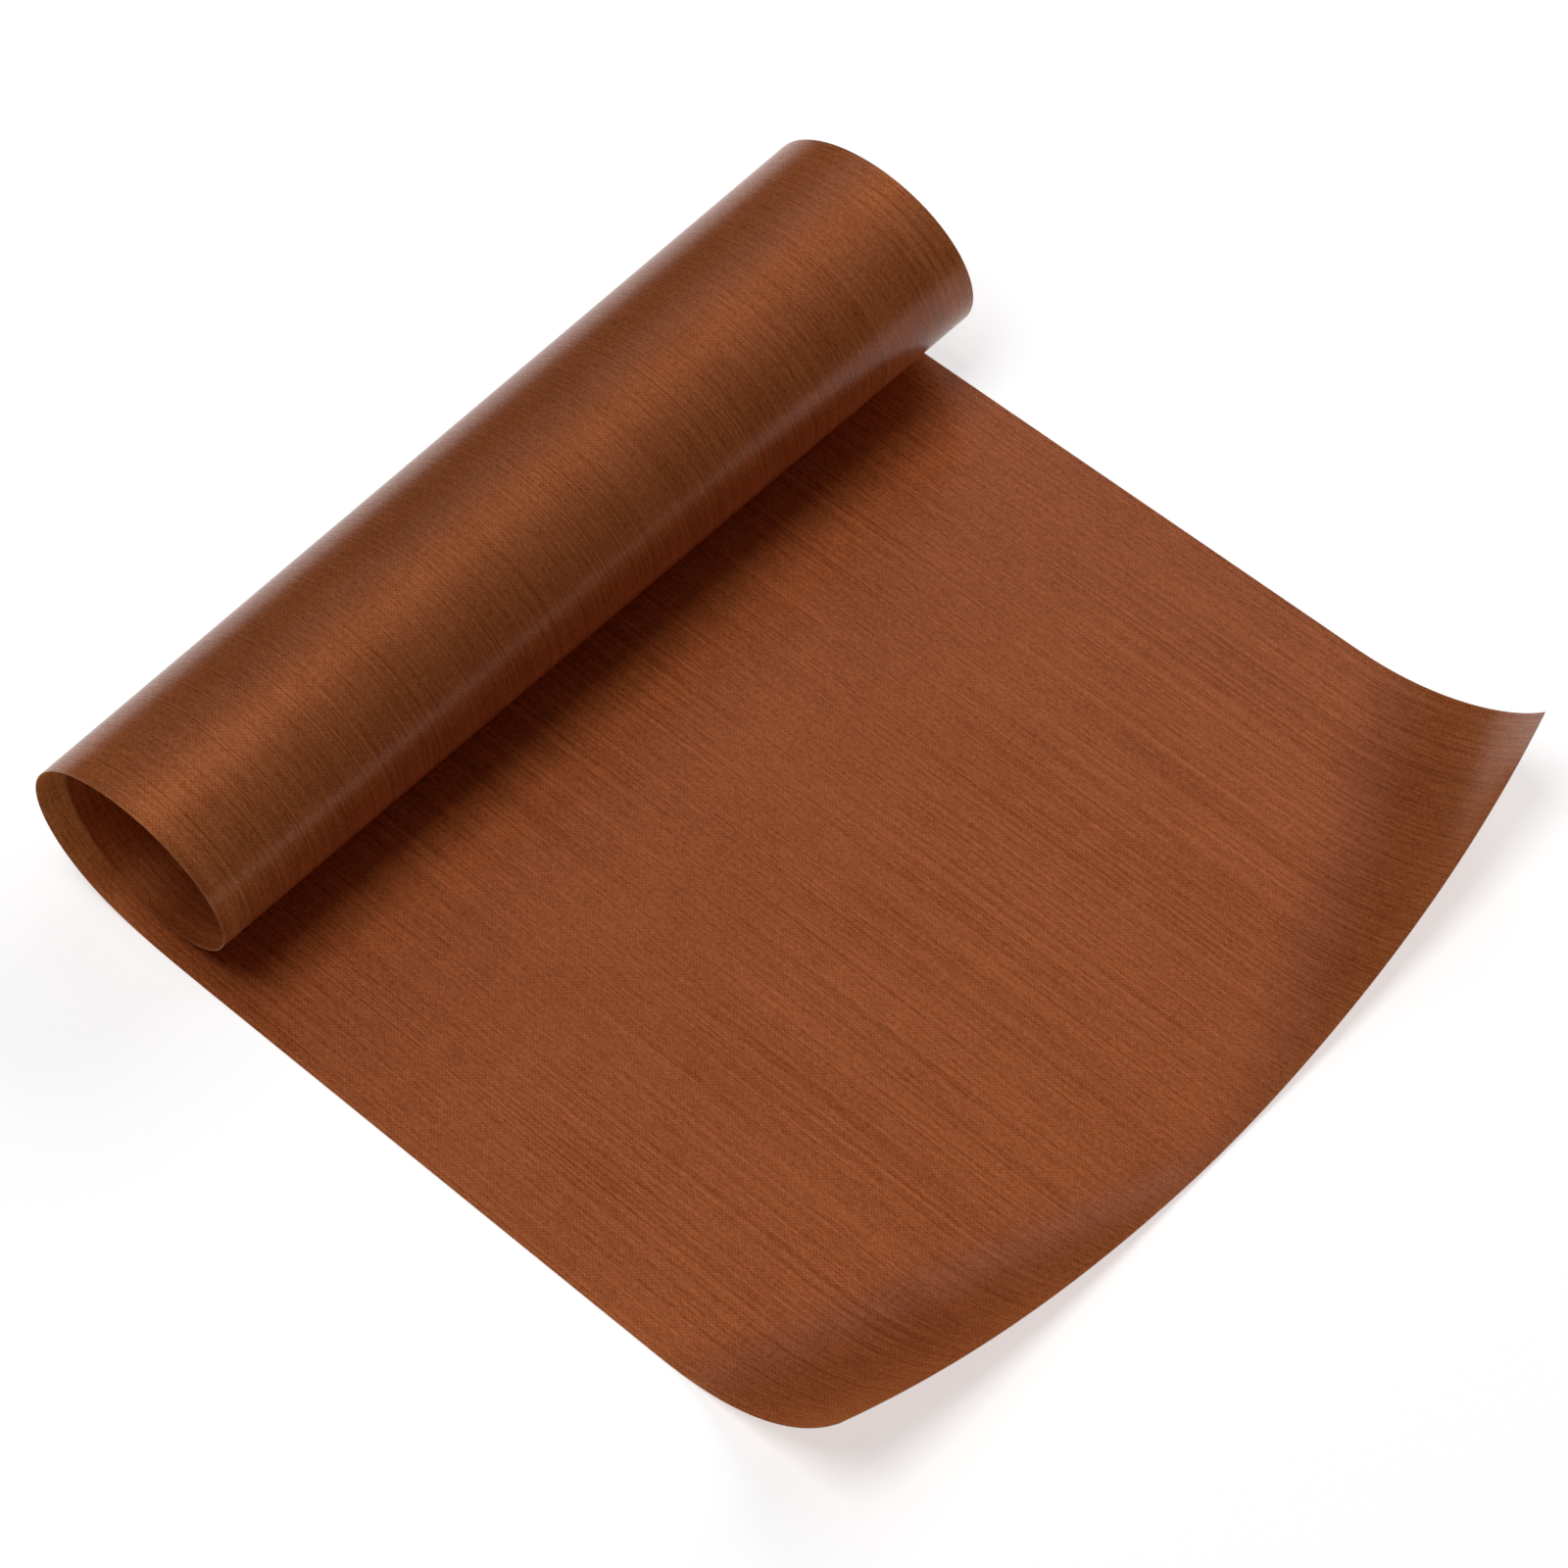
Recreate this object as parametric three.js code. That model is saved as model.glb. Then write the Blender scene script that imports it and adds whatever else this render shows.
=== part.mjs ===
// Oven liner: one cut sheet of woven glass cloth with a non-stick coat baked onto each face.
// The sheet lies on its flat part. Its back end is rolled up and over, and the two corners of
// its free edge curl up. Sizes are in millimetres and angles in degrees. X runs from the roll
// to the free edge, Y runs across the sheet from its near side to its far side, and Z is up.
import * as THREE from "three";

// The sheet as it is cut, and its three bonded layers
const SHEET_WIDTH = 330;
const SHEET_LENGTH = 585;
const CLOTH_THICKNESS = 0.1;
const COAT_THICKNESS = 0.05;

// The roll, measured at mid width: it follows a slim cone that widens towards the far side
const FLAT_LENGTH = 251; // from the free edge to the line where the sheet starts to bend up
const LIFT_RUN = 60; // length over which the bend grows to its full strength
const ROLL_RADIUS = 35.5; // mean radius where the first turn starts
const TURN_STEP = 2; // radius lost in each turn, which keeps the turns apart
const ROLL_OVAL = 0.32; // share by which the sides bend more, and the top and bottom less
const CONE_REACH = 3900; // from mid width to the tip of the cone, past the near side
const ROLL_SKEW = -0.5; // turn of the lift-off line, seen from above

// The curled corners: each bends up past a fold line that slants from the free edge to the side
const CURL_RUN = 10; // length over which the curl grows to its full strength
const NEAR_REACH = 199; // from the near corner, along the free edge, to the end of its fold line
const NEAR_SLANT = 22; // angle between that fold line and the free edge
const NEAR_RADIUS = 65;
const FAR_REACH = 205;
const FAR_SLANT = 24;
const FAR_RADIUS = 71;

// Facets: strips across the sheet, and steps along its curled end and its roll
const STRIPS = 9;
const CURL_STEPS = 12;
const ROLL_STEPS = 48;
const STATION_STEP = 0.5; // spacing of the points on which the bends are worked out
const LEAST_GAP = 0.4; // clear space that every turn keeps to the one outside it

const FULL_TURN = 2 * Math.PI;
const radians = THREE.MathUtils.degToRad;

// The side view of a strip that starts level and bends upwards. bendAt gives the bend per
// millimetre from the length along the strip and the angle turned so far. The result gives the
// distance run, the height risen and the angle turned at any length.
function bentStrip(length, bendAt) {
  const stations = [{ run: 0, rise: 0, turn: 0 }];
  const count = Math.ceil(length / STATION_STEP);
  for (let i = 0; i < count; i += 1) {
    const { run, rise, turn } = stations[i];
    const turned = STATION_STEP * bendAt((i + 0.5) * STATION_STEP, turn);
    const heading = turn + turned / 2;
    stations.push({
      run: run + STATION_STEP * Math.cos(heading),
      rise: rise + STATION_STEP * Math.sin(heading),
      turn: turn + turned,
    });
  }
  return (distance) => {
    const i = Math.min(Math.floor(distance / STATION_STEP), count - 1);
    const share = distance / STATION_STEP - i;
    const mix = (key) => THREE.MathUtils.lerp(stations[i][key], stations[i + 1][key], share);
    return { run: mix("run"), rise: mix("rise"), turn: mix("turn") };
  };
}

// The roll: an oval spiral that tightens a little with each turn, the same at every width but
// for its scale, which grows with the distance from the tip of the cone.
const skew = radians(ROLL_SKEW);
const liftDirection = new THREE.Vector2(-Math.sin(skew), Math.cos(skew));
const forward = new THREE.Vector2(Math.cos(skew), Math.sin(skew));
const coneTip = new THREE.Vector2(-FLAT_LENGTH, 0).addScaledVector(liftDirection, -CONE_REACH);
const nearScale = (CONE_REACH - SHEET_WIDTH / 2) / CONE_REACH;
const rollLength = (SHEET_LENGTH - FLAT_LENGTH) / nearScale + SHEET_WIDTH * Math.abs(skew);

const rollStrip = bentStrip(rollLength + LIFT_RUN, (length, turn) => {
  const growth = Math.min(length / LIFT_RUN, 1) ** 2;
  const radius = ROLL_RADIUS - (TURN_STEP * turn) / FULL_TURN;
  return (growth * (1 - ROLL_OVAL * Math.cos(2 * turn))) / radius;
});

function rolledPoint(ray) {
  const reach = ray.length();
  const scale = reach / CONE_REACH;
  const angle = Math.atan2(-ray.dot(forward), ray.dot(liftDirection));
  const { run, rise } = rollStrip(angle * CONE_REACH);
  const foot = coneTip.clone().addScaledVector(liftDirection, reach);
  foot.addScaledVector(forward, -run * scale);
  return new THREE.Vector3(foot.x, foot.y, rise * scale);
}

// The corners of the free edge: side is -1 for the near corner and 1 for the far one.
function curledCorner(side, reach, slant, radius) {
  const angle = radians(slant);
  const outward = new THREE.Vector2(Math.cos(angle), side * Math.sin(angle));
  const foldEnd = new THREE.Vector2(0, side * (SHEET_WIDTH / 2 - reach));
  const depth = reach * Math.tan(angle);
  const strip = bentStrip(reach, (length) => Math.min(length / CURL_RUN, 1) / radius);
  return { outward, foldEnd, depth, strip };
}

const corners = [
  curledCorner(-1, NEAR_REACH, NEAR_SLANT, NEAR_RADIUS),
  curledCorner(1, FAR_REACH, FAR_SLANT, FAR_RADIUS),
];
const curlDepth = Math.max(...corners.map((corner) => corner.depth));

function laidPoint(flat) {
  const point = new THREE.Vector3(flat.x, flat.y, 0);
  for (const { outward, foldEnd, strip } of corners) {
    const past = flat.clone().sub(foldEnd).dot(outward);
    if (past > 0) {
      const { run, rise } = strip(past);
      point.x += (run - past) * outward.x;
      point.y += (run - past) * outward.y;
      point.z += rise;
    }
  }
  return point;
}

// A point on the sheet's lower face, from its distance behind the free edge and its distance
// across from the middle, both measured on the flat sheet.
function sheetPoint(behind, across) {
  const flat = new THREE.Vector2(-behind, across);
  const ray = flat.clone().sub(coneTip);
  return ray.dot(forward) < 0 ? rolledPoint(ray) : laidPoint(flat);
}

// The direction through the sheet there, from its lower face to its upper one.
function sheetNormal(behind, across) {
  const step = STATION_STEP;
  const along = sheetPoint(behind - step, across).sub(sheetPoint(behind + step, across));
  const over = sheetPoint(behind, across + step).sub(sheetPoint(behind, across - step));
  return along.cross(over).normalize();
}

// Lines across the sheet, from the free edge to the inner end of the roll: each gives its
// distance behind the free edge at a distance across.
const liftLine = (across) => FLAT_LENGTH + across * Math.tan(skew);
const lines = [];
for (let i = 0; i <= CURL_STEPS; i += 1) {
  lines.push(() => (curlDepth * i) / CURL_STEPS);
}
for (let i = 0; i <= ROLL_STEPS; i += 1) {
  lines.push((across) => THREE.MathUtils.lerp(liftLine(across), SHEET_LENGTH, i / ROLL_STEPS));
}

// The grid of points where those lines cross the strips' edges, with the direction through the
// sheet at each. Every layer is built on it, so that neighbouring layers share one face.
const grid = lines.map((line) => {
  const row = [];
  for (let j = 0; j <= STRIPS; j += 1) {
    const across = SHEET_WIDTH * (j / STRIPS - 0.5);
    const behind = line(across);
    row.push({ point: sheetPoint(behind, across), normal: sheetNormal(behind, across) });
  }
  return row;
});

// Grid points round the sheet's cut edge, anticlockwise from above.
function cutEdge() {
  const last = lines.length - 1;
  const edge = [];
  for (let i = last; i > 0; i -= 1) edge.push([i, 0]);
  for (let j = 0; j < STRIPS; j += 1) edge.push([0, j]);
  for (let i = 0; i < last; i += 1) edge.push([i, STRIPS]);
  for (let j = STRIPS; j > 0; j -= 1) edge.push([last, j]);
  return edge;
}

// One layer of the sheet: the solid between two heights above the sheet's lower face.
function layer(name, bottom, top, material) {
  const positions = [];
  for (const height of [bottom, top]) {
    for (const { point, normal } of grid.flat()) {
      positions.push(...point.clone().addScaledVector(normal, height));
    }
  }
  const below = (i, j) => i * (STRIPS + 1) + j;
  const above = (i, j) => below(i, j) + lines.length * (STRIPS + 1);
  const faces = [];
  for (let i = 0; i < lines.length - 1; i += 1) {
    for (let j = 0; j < STRIPS; j += 1) {
      faces.push(above(i, j), above(i, j + 1), above(i + 1, j));
      faces.push(above(i, j + 1), above(i + 1, j + 1), above(i + 1, j));
      faces.push(below(i, j), below(i + 1, j), below(i, j + 1));
      faces.push(below(i, j + 1), below(i + 1, j), below(i + 1, j + 1));
    }
  }
  const edge = cutEdge();
  edge.forEach((from, k) => {
    const to = edge[(k + 1) % edge.length];
    faces.push(above(...from), below(...from), below(...to));
    faces.push(above(...from), below(...to), above(...to));
  });
  const geometry = new THREE.BufferGeometry();
  geometry.setAttribute("position", new THREE.Float32BufferAttribute(positions, 3));
  geometry.setIndex(faces);
  geometry.computeVertexNormals();
  const mesh = new THREE.Mesh(geometry, material);
  mesh.name = name;
  return mesh;
}

// The least clear space between turns, at the near end, where the roll is smallest: from each
// point of a turn to the points of the sheet at least half a turn outside it.
function leastTurnGap() {
  const points = [];
  for (let length = 0; length <= rollLength; length += STATION_STEP) {
    points.push(rollStrip(length));
  }
  let least = Infinity;
  for (const inner of points) {
    for (const outer of points) {
      if (inner.turn - outer.turn < FULL_TURN / 2) break;
      least = Math.min(least, Math.hypot(inner.run - outer.run, inner.rise - outer.rise));
    }
  }
  return least * nearScale - (CLOTH_THICKNESS + 2 * COAT_THICKNESS);
}

const turnGap = leastTurnGap();
const verdict = turnGap > LEAST_GAP ? "clear" : "too close";
console.log(`least gap between turns of the roll: ${turnGap.toFixed(2)} mm, ${verdict}`);

const coatMaterial = new THREE.MeshStandardMaterial({ color: 0x87482b, roughness: 0.42, metalness: 0 });
const clothMaterial = new THREE.MeshStandardMaterial({ color: 0xb48a6c, roughness: 0.8, metalness: 0 });
const clothBottom = COAT_THICKNESS;
const clothTop = clothBottom + CLOTH_THICKNESS;
const sheetTop = clothTop + COAT_THICKNESS;

const liner = new THREE.Group();
liner.name = "oven_liner";
liner.add(
  layer("lower_coat", 0, clothBottom, coatMaterial),
  layer("glass_cloth", clothBottom, clothTop, clothMaterial),
  layer("upper_coat", clothTop, sheetTop, coatMaterial.clone()),
);

// The origin is on the surface that the sheet lies on, below the middle of its outline.
const outline = new THREE.Box3().setFromObject(liner);
const middle = outline.getCenter(new THREE.Vector3());
liner.position.set(-middle.x, -middle.y, -outline.min.z);

export default liner;
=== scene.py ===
"""Oven liner: the looks of one cut sheet of coated glass cloth, partly rolled up, around its CAD frame.

The sheet's three bonded layers are each cut flat from a grid at the sheet's real size, laid, curled
and rolled up by the same formula as the part's source, and given their own thickness. Lengths in
the formula are in millimetres; meshes are in metres. X runs from the roll to the free edge, Y runs
across the sheet from its near side to its far side, and Z is up.
"""
import math

import bpy
from mathutils import Matrix, Vector


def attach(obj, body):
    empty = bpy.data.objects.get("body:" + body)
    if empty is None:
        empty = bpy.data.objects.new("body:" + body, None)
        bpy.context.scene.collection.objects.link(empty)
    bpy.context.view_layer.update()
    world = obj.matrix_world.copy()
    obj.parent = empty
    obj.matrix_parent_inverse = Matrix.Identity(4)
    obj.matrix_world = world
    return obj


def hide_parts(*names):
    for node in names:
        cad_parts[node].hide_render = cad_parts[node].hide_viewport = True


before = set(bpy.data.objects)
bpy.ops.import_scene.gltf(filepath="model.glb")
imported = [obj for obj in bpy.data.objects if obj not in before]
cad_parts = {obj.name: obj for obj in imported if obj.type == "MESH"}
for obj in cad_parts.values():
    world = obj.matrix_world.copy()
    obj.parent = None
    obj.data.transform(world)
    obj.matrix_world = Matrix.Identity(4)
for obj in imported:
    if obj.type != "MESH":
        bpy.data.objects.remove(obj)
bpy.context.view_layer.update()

MM = 0.001  # metres in a millimetre

# The sheet as it is cut, and its three bonded layers
SHEET_WIDTH = 330
SHEET_LENGTH = 585
CLOTH_THICKNESS = 0.1
COAT_THICKNESS = 0.05
YARN_ENDS = 0.05  # how far the cut yarns stand out past the coats

# The roll, measured at mid width: it follows a slim cone that widens towards the far side
FLAT_LENGTH = 251  # from the free edge to the line where the sheet starts to bend up
LIFT_RUN = 60  # length over which the bend grows to its full strength
ROLL_RADIUS = 35.5  # mean radius where the first turn starts
TURN_STEP = 2  # radius lost in each turn, which keeps the turns apart
ROLL_OVAL = 0.32  # share by which the sides bend more, and the top and bottom less
CONE_REACH = 3900  # from mid width to the tip of the cone, past the near side
ROLL_SKEW = -0.5  # degrees, turn of the lift-off line, seen from above

# The curled corners: each bends up past a fold line that slants from the free edge to the side.
# Side, reach of the fold line along the free edge, its slant in degrees, and the curl's radius
CURL_RUN = 10  # length over which the curl grows to its full strength
CORNERS = [(-1, 199, 22, 65), (1, 205, 24, 71)]

LENGTH_STEPS = 320
WIDTH_STEPS = 84
STATION_STEP = 0.5  # spacing of the points on which the bends are worked out
FULL_TURN = 2 * math.pi


def bent_strip(length, bend_at):
    """The side view of a strip that starts level and bends upwards.

    bend_at gives the bend per millimetre from the length along the strip and the angle turned so
    far. The result gives the distance run and the height risen at any length.
    """
    stations = [(0.0, 0.0)]
    count = math.ceil(length / STATION_STEP)
    turn = 0.0
    for i in range(count):
        run, rise = stations[i]
        turned = STATION_STEP * bend_at((i + 0.5) * STATION_STEP, turn)
        heading = turn + turned / 2
        stations.append((run + STATION_STEP * math.cos(heading), rise + STATION_STEP * math.sin(heading)))
        turn += turned

    def at(distance):
        i = min(int(distance / STATION_STEP), count - 1)
        share = distance / STATION_STEP - i
        (run, rise), (next_run, next_rise) = stations[i], stations[i + 1]
        return run + (next_run - run) * share, rise + (next_rise - rise) * share

    return at


def roll_bend(length, turn):
    """Bend of the roll: an oval spiral that tightens a little with each turn."""
    growth = min(length / LIFT_RUN, 1) ** 2
    radius = ROLL_RADIUS - TURN_STEP * turn / FULL_TURN
    return growth * (1 - ROLL_OVAL * math.cos(2 * turn)) / radius


skew = math.radians(ROLL_SKEW)
lift_direction = Vector((-math.sin(skew), math.cos(skew)))
forward = Vector((math.cos(skew), math.sin(skew)))
cone_tip = Vector((-FLAT_LENGTH, 0)) - lift_direction * CONE_REACH
near_scale = (CONE_REACH - SHEET_WIDTH / 2) / CONE_REACH
roll_length = (SHEET_LENGTH - FLAT_LENGTH) / near_scale + SHEET_WIDTH * abs(skew)
roll_strip = bent_strip(roll_length + LIFT_RUN, roll_bend)


def curled_corner(side, reach, slant, radius):
    """A corner's outward direction, the end of its fold line on the free edge, and its curl."""
    angle = math.radians(slant)
    outward = Vector((math.cos(angle), side * math.sin(angle)))
    fold_end = Vector((0, side * (SHEET_WIDTH / 2 - reach)))
    return outward, fold_end, bent_strip(reach, lambda length, turn: min(length / CURL_RUN, 1) / radius)


corners = [curled_corner(*corner) for corner in CORNERS]


def rolled_point(ray):
    """Where a point of the rolled end lies, from its place past the tip of the cone."""
    reach = ray.length
    scale = reach / CONE_REACH
    angle = math.atan2(-ray.dot(forward), ray.dot(lift_direction))
    run, rise = roll_strip(angle * CONE_REACH)
    foot = cone_tip + lift_direction * reach - forward * (run * scale)
    return Vector((foot.x, foot.y, rise * scale))


def laid_point(flat):
    """Where a point of the flat end lies, with both corners curled up."""
    point = flat.to_3d()
    for outward, fold_end, curl in corners:
        past = (flat - fold_end).dot(outward)
        if past > 0:
            run, rise = curl(past)
            point += (outward * (run - past)).to_3d()
            point.z += rise
    return point


def sheet_point(behind, across):
    """A point on the sheet's lower face, from its place on the flat sheet."""
    flat = Vector((-behind, across))
    ray = flat - cone_tip
    return rolled_point(ray) if ray.dot(forward) < 0 else laid_point(flat)


def sheet_normal(behind, across):
    """The direction through the sheet there, from its lower face to its upper one."""
    step = STATION_STEP
    along = sheet_point(behind - step, across) - sheet_point(behind + step, across)
    over = sheet_point(behind, across + step) - sheet_point(behind, across - step)
    return along.cross(over).normalized()


def linear(hex_colour):
    """A colour written as sRGB hex, as the linear colour that shaders take."""
    channels = [int(hex_colour[i:i + 2], 16) / 255 for i in (1, 3, 5)]
    return [c / 12.92 if c <= 0.04045 else ((c + 0.055) / 1.055) ** 2.4 for c in channels] + [1.0]


def add_node(tree, kind, settings=None, **links):
    """Adds a node, gives it its settings, and sets or links the inputs that are named.

    An input's name has _ for a space, or in_ and a number where inputs share a name. A value that
    is a socket is linked.
    """
    node = tree.nodes.new(kind)
    for key, value in (settings or {}).items():
        setattr(node, key, value)
    for key, value in links.items():
        socket = node.inputs[int(key[3:])] if key.startswith("in_") else node.inputs[key.replace("_", " ")]
        if isinstance(value, bpy.types.NodeSocket):
            tree.links.new(value, socket)
        else:
            socket.default_value = value
    return node


def new_material(name):
    """An empty material, with its node tree and its output."""
    material = bpy.data.materials.new(name)
    material.use_nodes = True
    tree = material.node_tree
    tree.nodes.clear()
    return material, tree, tree.nodes.new("ShaderNodeOutputMaterial")


# PTFE film, coloured brown, dipped and baked onto plain-woven glass cloth. It is a satin surface
# under a clear, smoother skin: the film follows the yarns, which show as a fine weave, and drains
# along the cloth as it is drawn out of the bath, which leaves long thin streaks. Part of the light
# glints off the glass under the film and comes back brown, and part goes right through the sheet.
WARP_PITCH = 0.465  # mm between the yarns that run along the sheet
WEFT_PITCH = 0.489  # mm between the yarns that run across it
WEAVE_COARSENESS = 1.45  # the real weave is under a pixel wide, so it is drawn this much coarser
# Length and width of each pattern's marks in mm, and how many finer sizes are added to it
COAT_PATTERNS = {
    "yarns": (200, 0.7, 1.0),  # each bundle of yarns along the sheet keeps its own tone for some way
    "drains": (220, 3.5, 1.0),  # broad runs where the film drained
    "slubs": (8, 0.7, 1.0),  # short thick places in a yarn
    "grain": (1.5, 0.9, 1.0),  # unevenness of the film from crossing to crossing
    "clouds": (40, 40, 2.0),  # slow changes in the film's thickness
}
# Share of each pattern in the colour, and of the weave itself
COAT_TONE = {
    "yarns": 0.9,
    "drains": 0.04,
    "slubs": 0.55,
    "grain": 0.8,
    "clouds": 0.2,
}
WEAVE_TONE = 0.2
FINER_WEIGHT = 0.65  # weight of the finer sizes in each pattern
DARK_COAT = "#7c3b11"
PALE_COAT = "#a56a43"
DARK_THROUGH = "#9e724c"  # what one coat lets through where its tone is dark
PALE_THROUGH = "#d1a880"
YARN_RELIEF = 0.6  # how far single yarns stand out, beside the crowns of the weave
RELIEF_STRENGTH = 0.25
RELIEF_DEPTH = 0.03  # mm
SATIN_ROUGHNESS = 0.405  # of the smoothest yarns
SATIN_SPREAD = 0.25  # what the roughest yarns add to that
GLASS_GLINT = 0.4  # share of the surface that glints in its own colour, as a metal does
YARN_GLOSS = 0.8  # how much sharper the gloss is along the yarns than across them
GLOSS_TURN = 0.25  # of a full turn, which sets the sharp side of the gloss along the yarns
PTFE_IOR = 1.36
SKIN_WEIGHT = 0.875
SKIN_ROUGHNESS = 0.24


def make_ptfe_coat():
    material, tree, output = new_material("ptfe_coated_glass_cloth")
    place = add_node(tree, "ShaderNodeUVMap", {"uv_map": "flat_sheet"}).outputs["UV"]
    flat_size = (SHEET_LENGTH, SHEET_WIDTH, 1)
    flat = add_node(tree, "ShaderNodeMapping", Vector=place, Scale=flat_size).outputs[0]

    patterns = {}
    for name, (length, width, detail) in COAT_PATTERNS.items():
        stretched = add_node(tree, "ShaderNodeMapping", Vector=flat, Scale=(1 / length, 1 / width, 1))
        patterns[name] = add_node(
            tree, "ShaderNodeTexNoise", {"noise_dimensions": "2D"},
            Vector=stretched.outputs[0], Scale=1.0, Detail=detail, Roughness=FINER_WEIGHT,
        ).outputs[0]

    axes = add_node(tree, "ShaderNodeSeparateXYZ", Vector=flat)
    waves = []
    for axis, pitch in (("X", WEFT_PITCH), ("Y", WARP_PITCH)):
        turned = add_node(
            tree, "ShaderNodeMath", {"operation": "MULTIPLY"},
            in_0=axes.outputs[axis], in_1=math.pi / (pitch * WEAVE_COARSENESS),
        )
        waves.append(add_node(tree, "ShaderNodeMath", {"operation": "COSINE"}, in_0=turned.outputs[0]))
    weave = add_node(
        tree, "ShaderNodeMath", {"operation": "MULTIPLY"},
        in_0=waves[0].outputs[0], in_1=waves[1].outputs[0],
    ).outputs[0]
    crowns = add_node(tree, "ShaderNodeMath", {"operation": "ABSOLUTE"}, in_0=weave).outputs[0]

    # The patterns are even about one half and the weave about nothing, so the tone is even about
    # one half.
    tone = 0.5 - sum(COAT_TONE.values()) / 2
    shares = [(patterns[name], share) for name, share in COAT_TONE.items()]
    for pattern, share in shares + [(weave, WEAVE_TONE)]:
        tone = add_node(
            tree, "ShaderNodeMath", {"operation": "MULTIPLY_ADD"}, in_0=pattern, in_1=share, in_2=tone,
        ).outputs[0]
    colours = []
    for dark, pale in ((DARK_COAT, PALE_COAT), (DARK_THROUGH, PALE_THROUGH)):
        ramp = add_node(tree, "ShaderNodeValToRGB", in_0=tone)
        ramp.color_ramp.elements[0].color = linear(dark)
        ramp.color_ramp.elements[1].color = linear(pale)
        colours.append(ramp.outputs[0])

    height = add_node(
        tree, "ShaderNodeMath", {"operation": "MULTIPLY_ADD"},
        in_0=patterns["yarns"], in_1=YARN_RELIEF, in_2=crowns,
    )
    bump = add_node(
        tree, "ShaderNodeBump",
        Strength=RELIEF_STRENGTH, Distance=RELIEF_DEPTH * MM, Height=height.outputs[0],
    )
    satin = add_node(
        tree, "ShaderNodeMath", {"operation": "MULTIPLY_ADD"},
        in_0=patterns["yarns"], in_1=SATIN_SPREAD, in_2=SATIN_ROUGHNESS,
    )
    yarn_run = add_node(tree, "ShaderNodeTangent", {"direction_type": "UV_MAP", "uv_map": "flat_sheet"})
    coat = add_node(
        tree, "ShaderNodeBsdfPrincipled",
        Base_Color=colours[0], Metallic=GLASS_GLINT, Roughness=satin.outputs[0],
        IOR=PTFE_IOR, Specular_IOR_Level=0.0,
        Coat_Weight=SKIN_WEIGHT, Coat_Roughness=SKIN_ROUGHNESS, Coat_IOR=PTFE_IOR,
        Anisotropic=YARN_GLOSS, Anisotropic_Rotation=GLOSS_TURN, Tangent=yarn_run.outputs[0],
        Normal=bump.outputs[0], Coat_Normal=bump.outputs[0],
    )
    through = add_node(tree, "ShaderNodeBsdfTranslucent", Color=colours[1])
    both = add_node(tree, "ShaderNodeAddShader", in_0=coat.outputs[0], in_1=through.outputs[0])
    tree.links.new(both.outputs[0], output.inputs["Surface"])
    return material


# The faces where the coats are baked onto the cloth. They are never seen. They only pass the light
# on, and scatter it.
def make_bonded_face():
    material, tree, output = new_material("bonded_face")
    scatter = add_node(tree, "ShaderNodeBsdfTranslucent", Color=linear("#ffffff"))
    tree.links.new(scatter.outputs[0], output.inputs["Surface"])
    return material


# Bare glass yarn, as it shows where the sheet was cut: pale fibre ends, tinted by the coat that
# soaked into them, with no gloss to speak of.
TINTED_YARN = "#8a5a3a"
BARE_YARN = "#c9a888"
TINTED_UP_TO = 0.35  # level of the pattern where the tinted yarn starts to give way to the bare one
BARE_FROM = 0.65
YARNS_IN_A_PATCH = 3
YARN_ROUGHNESS = 0.7
GLASS_IOR = 1.5


def make_glass_yarn():
    material, tree, output = new_material("cut_glass_yarn")
    place = add_node(tree, "ShaderNodeTexCoord").outputs["Object"]
    patch = YARNS_IN_A_PATCH * WARP_PITCH * MM
    ends = add_node(tree, "ShaderNodeTexNoise", Vector=place, Scale=1 / patch, Detail=2.0)
    ramp = add_node(tree, "ShaderNodeValToRGB", in_0=ends.outputs[0])
    ramp.color_ramp.elements[0].position = TINTED_UP_TO
    ramp.color_ramp.elements[0].color = linear(TINTED_YARN)
    ramp.color_ramp.elements[1].position = BARE_FROM
    ramp.color_ramp.elements[1].color = linear(BARE_YARN)
    fibre = add_node(
        tree, "ShaderNodeBsdfPrincipled",
        Base_Color=ramp.outputs[0], Roughness=YARN_ROUGHNESS, IOR=GLASS_IOR,
    )
    tree.links.new(fibre.outputs[0], output.inputs["Surface"])
    return material


def cut_flat_grid(name, overhang):
    """A layer as it is cut: a flat grid, with its place on the sheet kept as a UV map."""
    bpy.ops.object.select_all(action="DESELECT")
    bpy.ops.mesh.primitive_grid_add(x_subdivisions=LENGTH_STEPS, y_subdivisions=WIDTH_STEPS, size=1)
    layer = bpy.context.object
    layer.name = name
    layer.data.name = name
    layer.data.uv_layers.active.name = "flat_sheet"
    bpy.ops.transform.resize(value=(SHEET_LENGTH + 2 * overhang, SHEET_WIDTH + 2 * overhang, 1))
    bpy.ops.object.transform_apply(location=False, rotation=False, scale=True)
    return layer


def pose_layer(layer, height, shift):
    """Moves each point of a flat layer to its place on the laid and rolled sheet."""
    for vertex in layer.data.vertices:
        behind = SHEET_LENGTH / 2 - vertex.co.x
        across = vertex.co.y
        point = sheet_point(behind, across) + sheet_normal(behind, across) * height
        vertex.co = (point + shift) * MM


SMOOTH_UP_TO = 40  # degrees between faces; the cut edges are sharper and stay crisp


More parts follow.
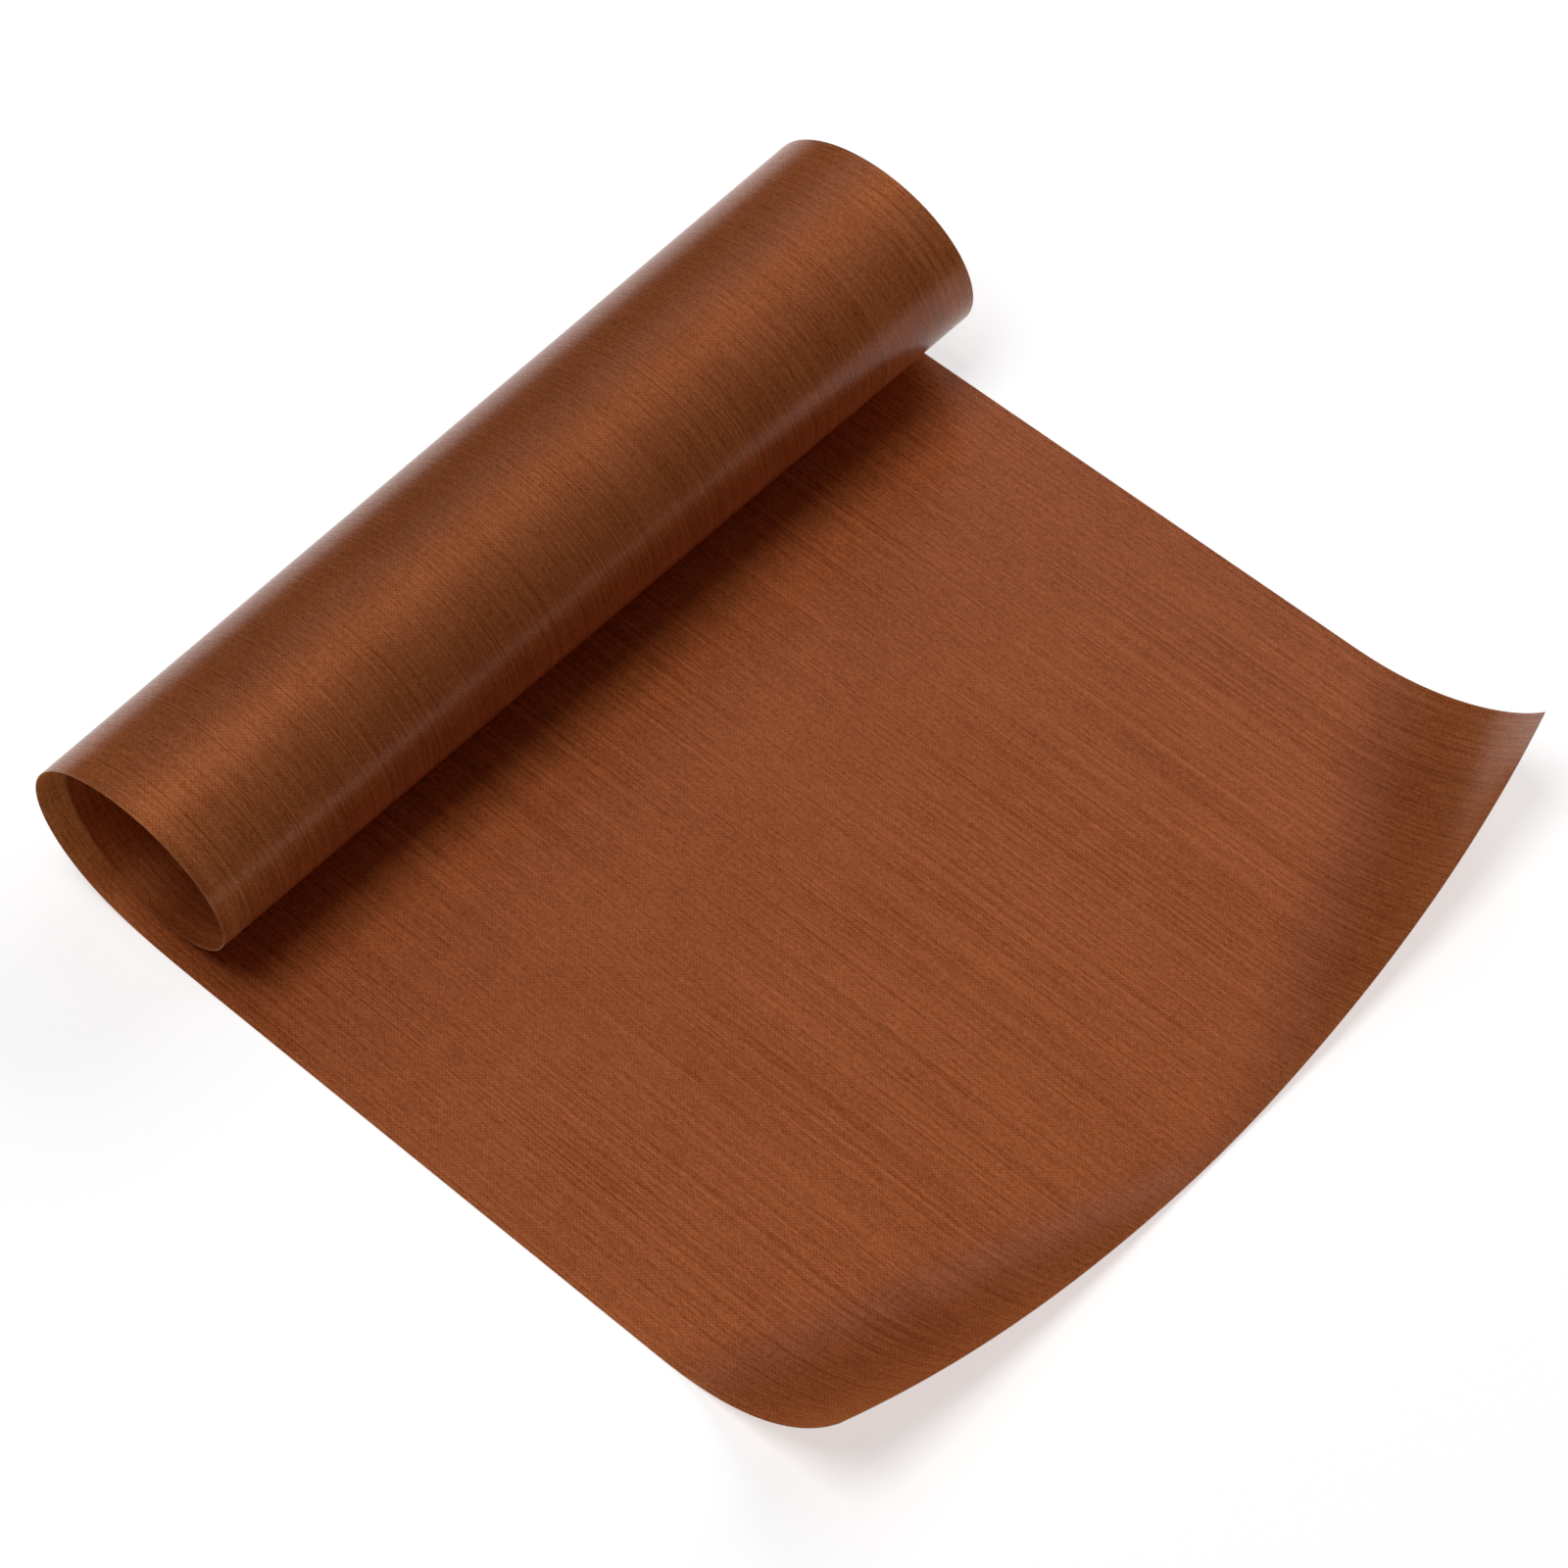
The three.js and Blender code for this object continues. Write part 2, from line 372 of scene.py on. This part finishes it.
def thicken(layer, thickness, side):
    """Gives a posed layer its thickness, above it for side 1 and below it for side -1.

    The layer's three materials are those of its upper face, its lower face and its cut edges.
    """
    solidify = layer.modifiers.new("thickness", "SOLIDIFY")
    solidify.thickness = thickness * MM
    solidify.offset = side
    solidify.use_even_offset = True
    solidify.use_quality_normals = True
    solidify.material_offset = 1
    solidify.material_offset_rim = 2
    bpy.context.view_layer.objects.active = layer
    bpy.ops.object.modifier_apply(modifier="thickness")
    bpy.ops.object.shade_smooth_by_angle(angle=math.radians(SMOOTH_UP_TO))


# The CAD frame has its origin below the middle of the sheet's outline.
SHEET_SHIFT = Vector((167.02, -5.81, 0))

ptfe_coat = make_ptfe_coat()
bonded_face = make_bonded_face()
glass_yarn = make_glass_yarn()


def make_layer(name, overhang, height, thickness, side, finishes, node):
    """One bonded layer, finished and put in the place of its CAD node."""
    layer = cut_flat_grid(name, overhang)
    pose_layer(layer, height, SHEET_SHIFT)
    for finish in finishes:
        layer.data.materials.append(finish)
    thicken(layer, thickness, side)
    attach(layer, "root")
    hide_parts(node)


CLOTH_TOP = COAT_THICKNESS + CLOTH_THICKNESS
BOND = 0.004  # gap that keeps the bonded faces apart, so that light passes them in order
make_layer(
    "lower_coat_sheet", 0, COAT_THICKNESS - BOND, COAT_THICKNESS - BOND, -1,
    (bonded_face, ptfe_coat, ptfe_coat), "lower_coat",
)
make_layer(
    "glass_cloth_sheet", YARN_ENDS, COAT_THICKNESS, CLOTH_THICKNESS, 1,
    (bonded_face, bonded_face, glass_yarn), "glass_cloth",
)
make_layer(
    "upper_coat_sheet", 0, CLOTH_TOP + BOND, COAT_THICKNESS - BOND, 1,
    (ptfe_coat, bonded_face, ptfe_coat), "upper_coat",
)


# The floor: a plain pale sweep. For the camera and for reflections it also glows, which takes it to
# white and keeps the shadow on it.
FLOOR_COLOUR = "#e7e7e7"
FLOOR_GLOW = 0.6
FLOOR_SIZE = 40  # m
FLOOR_DROP = 0.1  # mm, which keeps it clear of the sheet's lower face


def make_floor():
    bpy.ops.object.select_all(action="DESELECT")
    bpy.ops.mesh.primitive_plane_add(size=FLOOR_SIZE, location=(0, 0, -FLOOR_DROP * MM))
    floor = bpy.context.object
    floor.name = "floor"
    material, tree, output = new_material("pale_floor")
    path = add_node(tree, "ShaderNodeLightPath")
    seen = path.outputs["Is Camera Ray"]
    for kind in ("Is Glossy Ray", "Is Transmission Ray"):
        seen = add_node(
            tree, "ShaderNodeMath", {"operation": "ADD", "use_clamp": True},
            in_0=seen, in_1=path.outputs[kind],
        ).outputs[0]
    # Light that came through the sheet is scattered, so it doesn't count as a view of the floor.
    seen = add_node(
        tree, "ShaderNodeMath", {"operation": "SUBTRACT", "use_clamp": True},
        in_0=seen, in_1=path.outputs["Is Diffuse Ray"],
    ).outputs[0]
    glow = add_node(tree, "ShaderNodeMath", {"operation": "MULTIPLY"}, in_0=seen, in_1=FLOOR_GLOW)
    paint = add_node(tree, "ShaderNodeBsdfDiffuse", Color=linear(FLOOR_COLOUR))
    light = add_node(tree, "ShaderNodeEmission", Strength=glow.outputs[0])
    both = add_node(tree, "ShaderNodeAddShader", in_0=paint.outputs[0], in_1=light.outputs[0])
    tree.links.new(both.outputs[0], output.inputs["Surface"])
    floor.data.materials.append(material)


WORLD_LEVEL = 0.032


def make_world():
    """Plain dim grey all round, as in a studio with its lamps shaded."""
    world = bpy.data.worlds.new("studio")
    bpy.context.scene.world = world
    world.use_nodes = True
    tree = world.node_tree
    tree.nodes.clear()
    output = tree.nodes.new("ShaderNodeOutputWorld")
    light = add_node(tree, "ShaderNodeBackground", Color=(1, 1, 1, 1), Strength=WORLD_LEVEL)
    tree.links.new(light.outputs[0], output.inputs["Surface"])


LAMP_DISTANCE = 3  # m from the origin


def add_softbox(name, azimuth, elevation, width, height, radiance):
    """A softbox that faces the object, its place in degrees and its size in metres."""
    turn = math.radians(azimuth)
    tilt = math.radians(elevation)
    away = Vector((math.cos(turn) * math.cos(tilt), math.sin(turn) * math.cos(tilt), math.sin(tilt)))
    bpy.ops.object.light_add(type="AREA", location=away * LAMP_DISTANCE)
    lamp = bpy.context.object
    lamp.name = name
    lamp.rotation_euler = Vector((0, 0, 1)).rotation_difference(away).to_euler()
    lamp.data.shape = "RECTANGLE"
    lamp.data.size = width
    lamp.data.size_y = height
    lamp.data.energy = radiance * math.pi * width * height


make_floor()
make_world()
# Nearly overhead: it lights the sheet and draws the broad gloss along the top of the roll.
add_softbox("key_softbox", -127, 74, 1.33, 1.72, 4.8)
# Broad and low on the far side: it shines through the sheet, and pales the back of the roll.
add_softbox("back_softbox", 98, 38, 3.0, 1.28, 1.92)
# A dim card that softens the step between those two.
add_softbox("side_card", 143, 43, 1.2, 1.1, 0.36)


# The camera stands where the photograph was taken from.
CAMERA_PLACE = (0.5889, -0.6585, 1.2523)
CAMERA_AZIMUTH = 42.589
CAMERA_ELEVATION = 54.44
CAMERA_ROLL = -0.298
CAMERA_LENS = 115.23  # mm
CAMERA_SENSOR = 36  # mm

bpy.ops.object.camera_add()
camera = bpy.context.object
camera.data.lens = CAMERA_LENS
camera.data.sensor_width = CAMERA_SENSOR
turned = Matrix.Rotation(math.radians(CAMERA_AZIMUTH), 4, "Z")
tipped = Matrix.Rotation(math.radians(90 - CAMERA_ELEVATION), 4, "X")
rolled = Matrix.Rotation(math.radians(CAMERA_ROLL), 4, "Z")
camera.matrix_world = Matrix.Translation(CAMERA_PLACE) @ turned @ tipped @ rolled
bpy.context.scene.camera = camera
bpy.context.scene.view_settings.view_transform = "Standard"
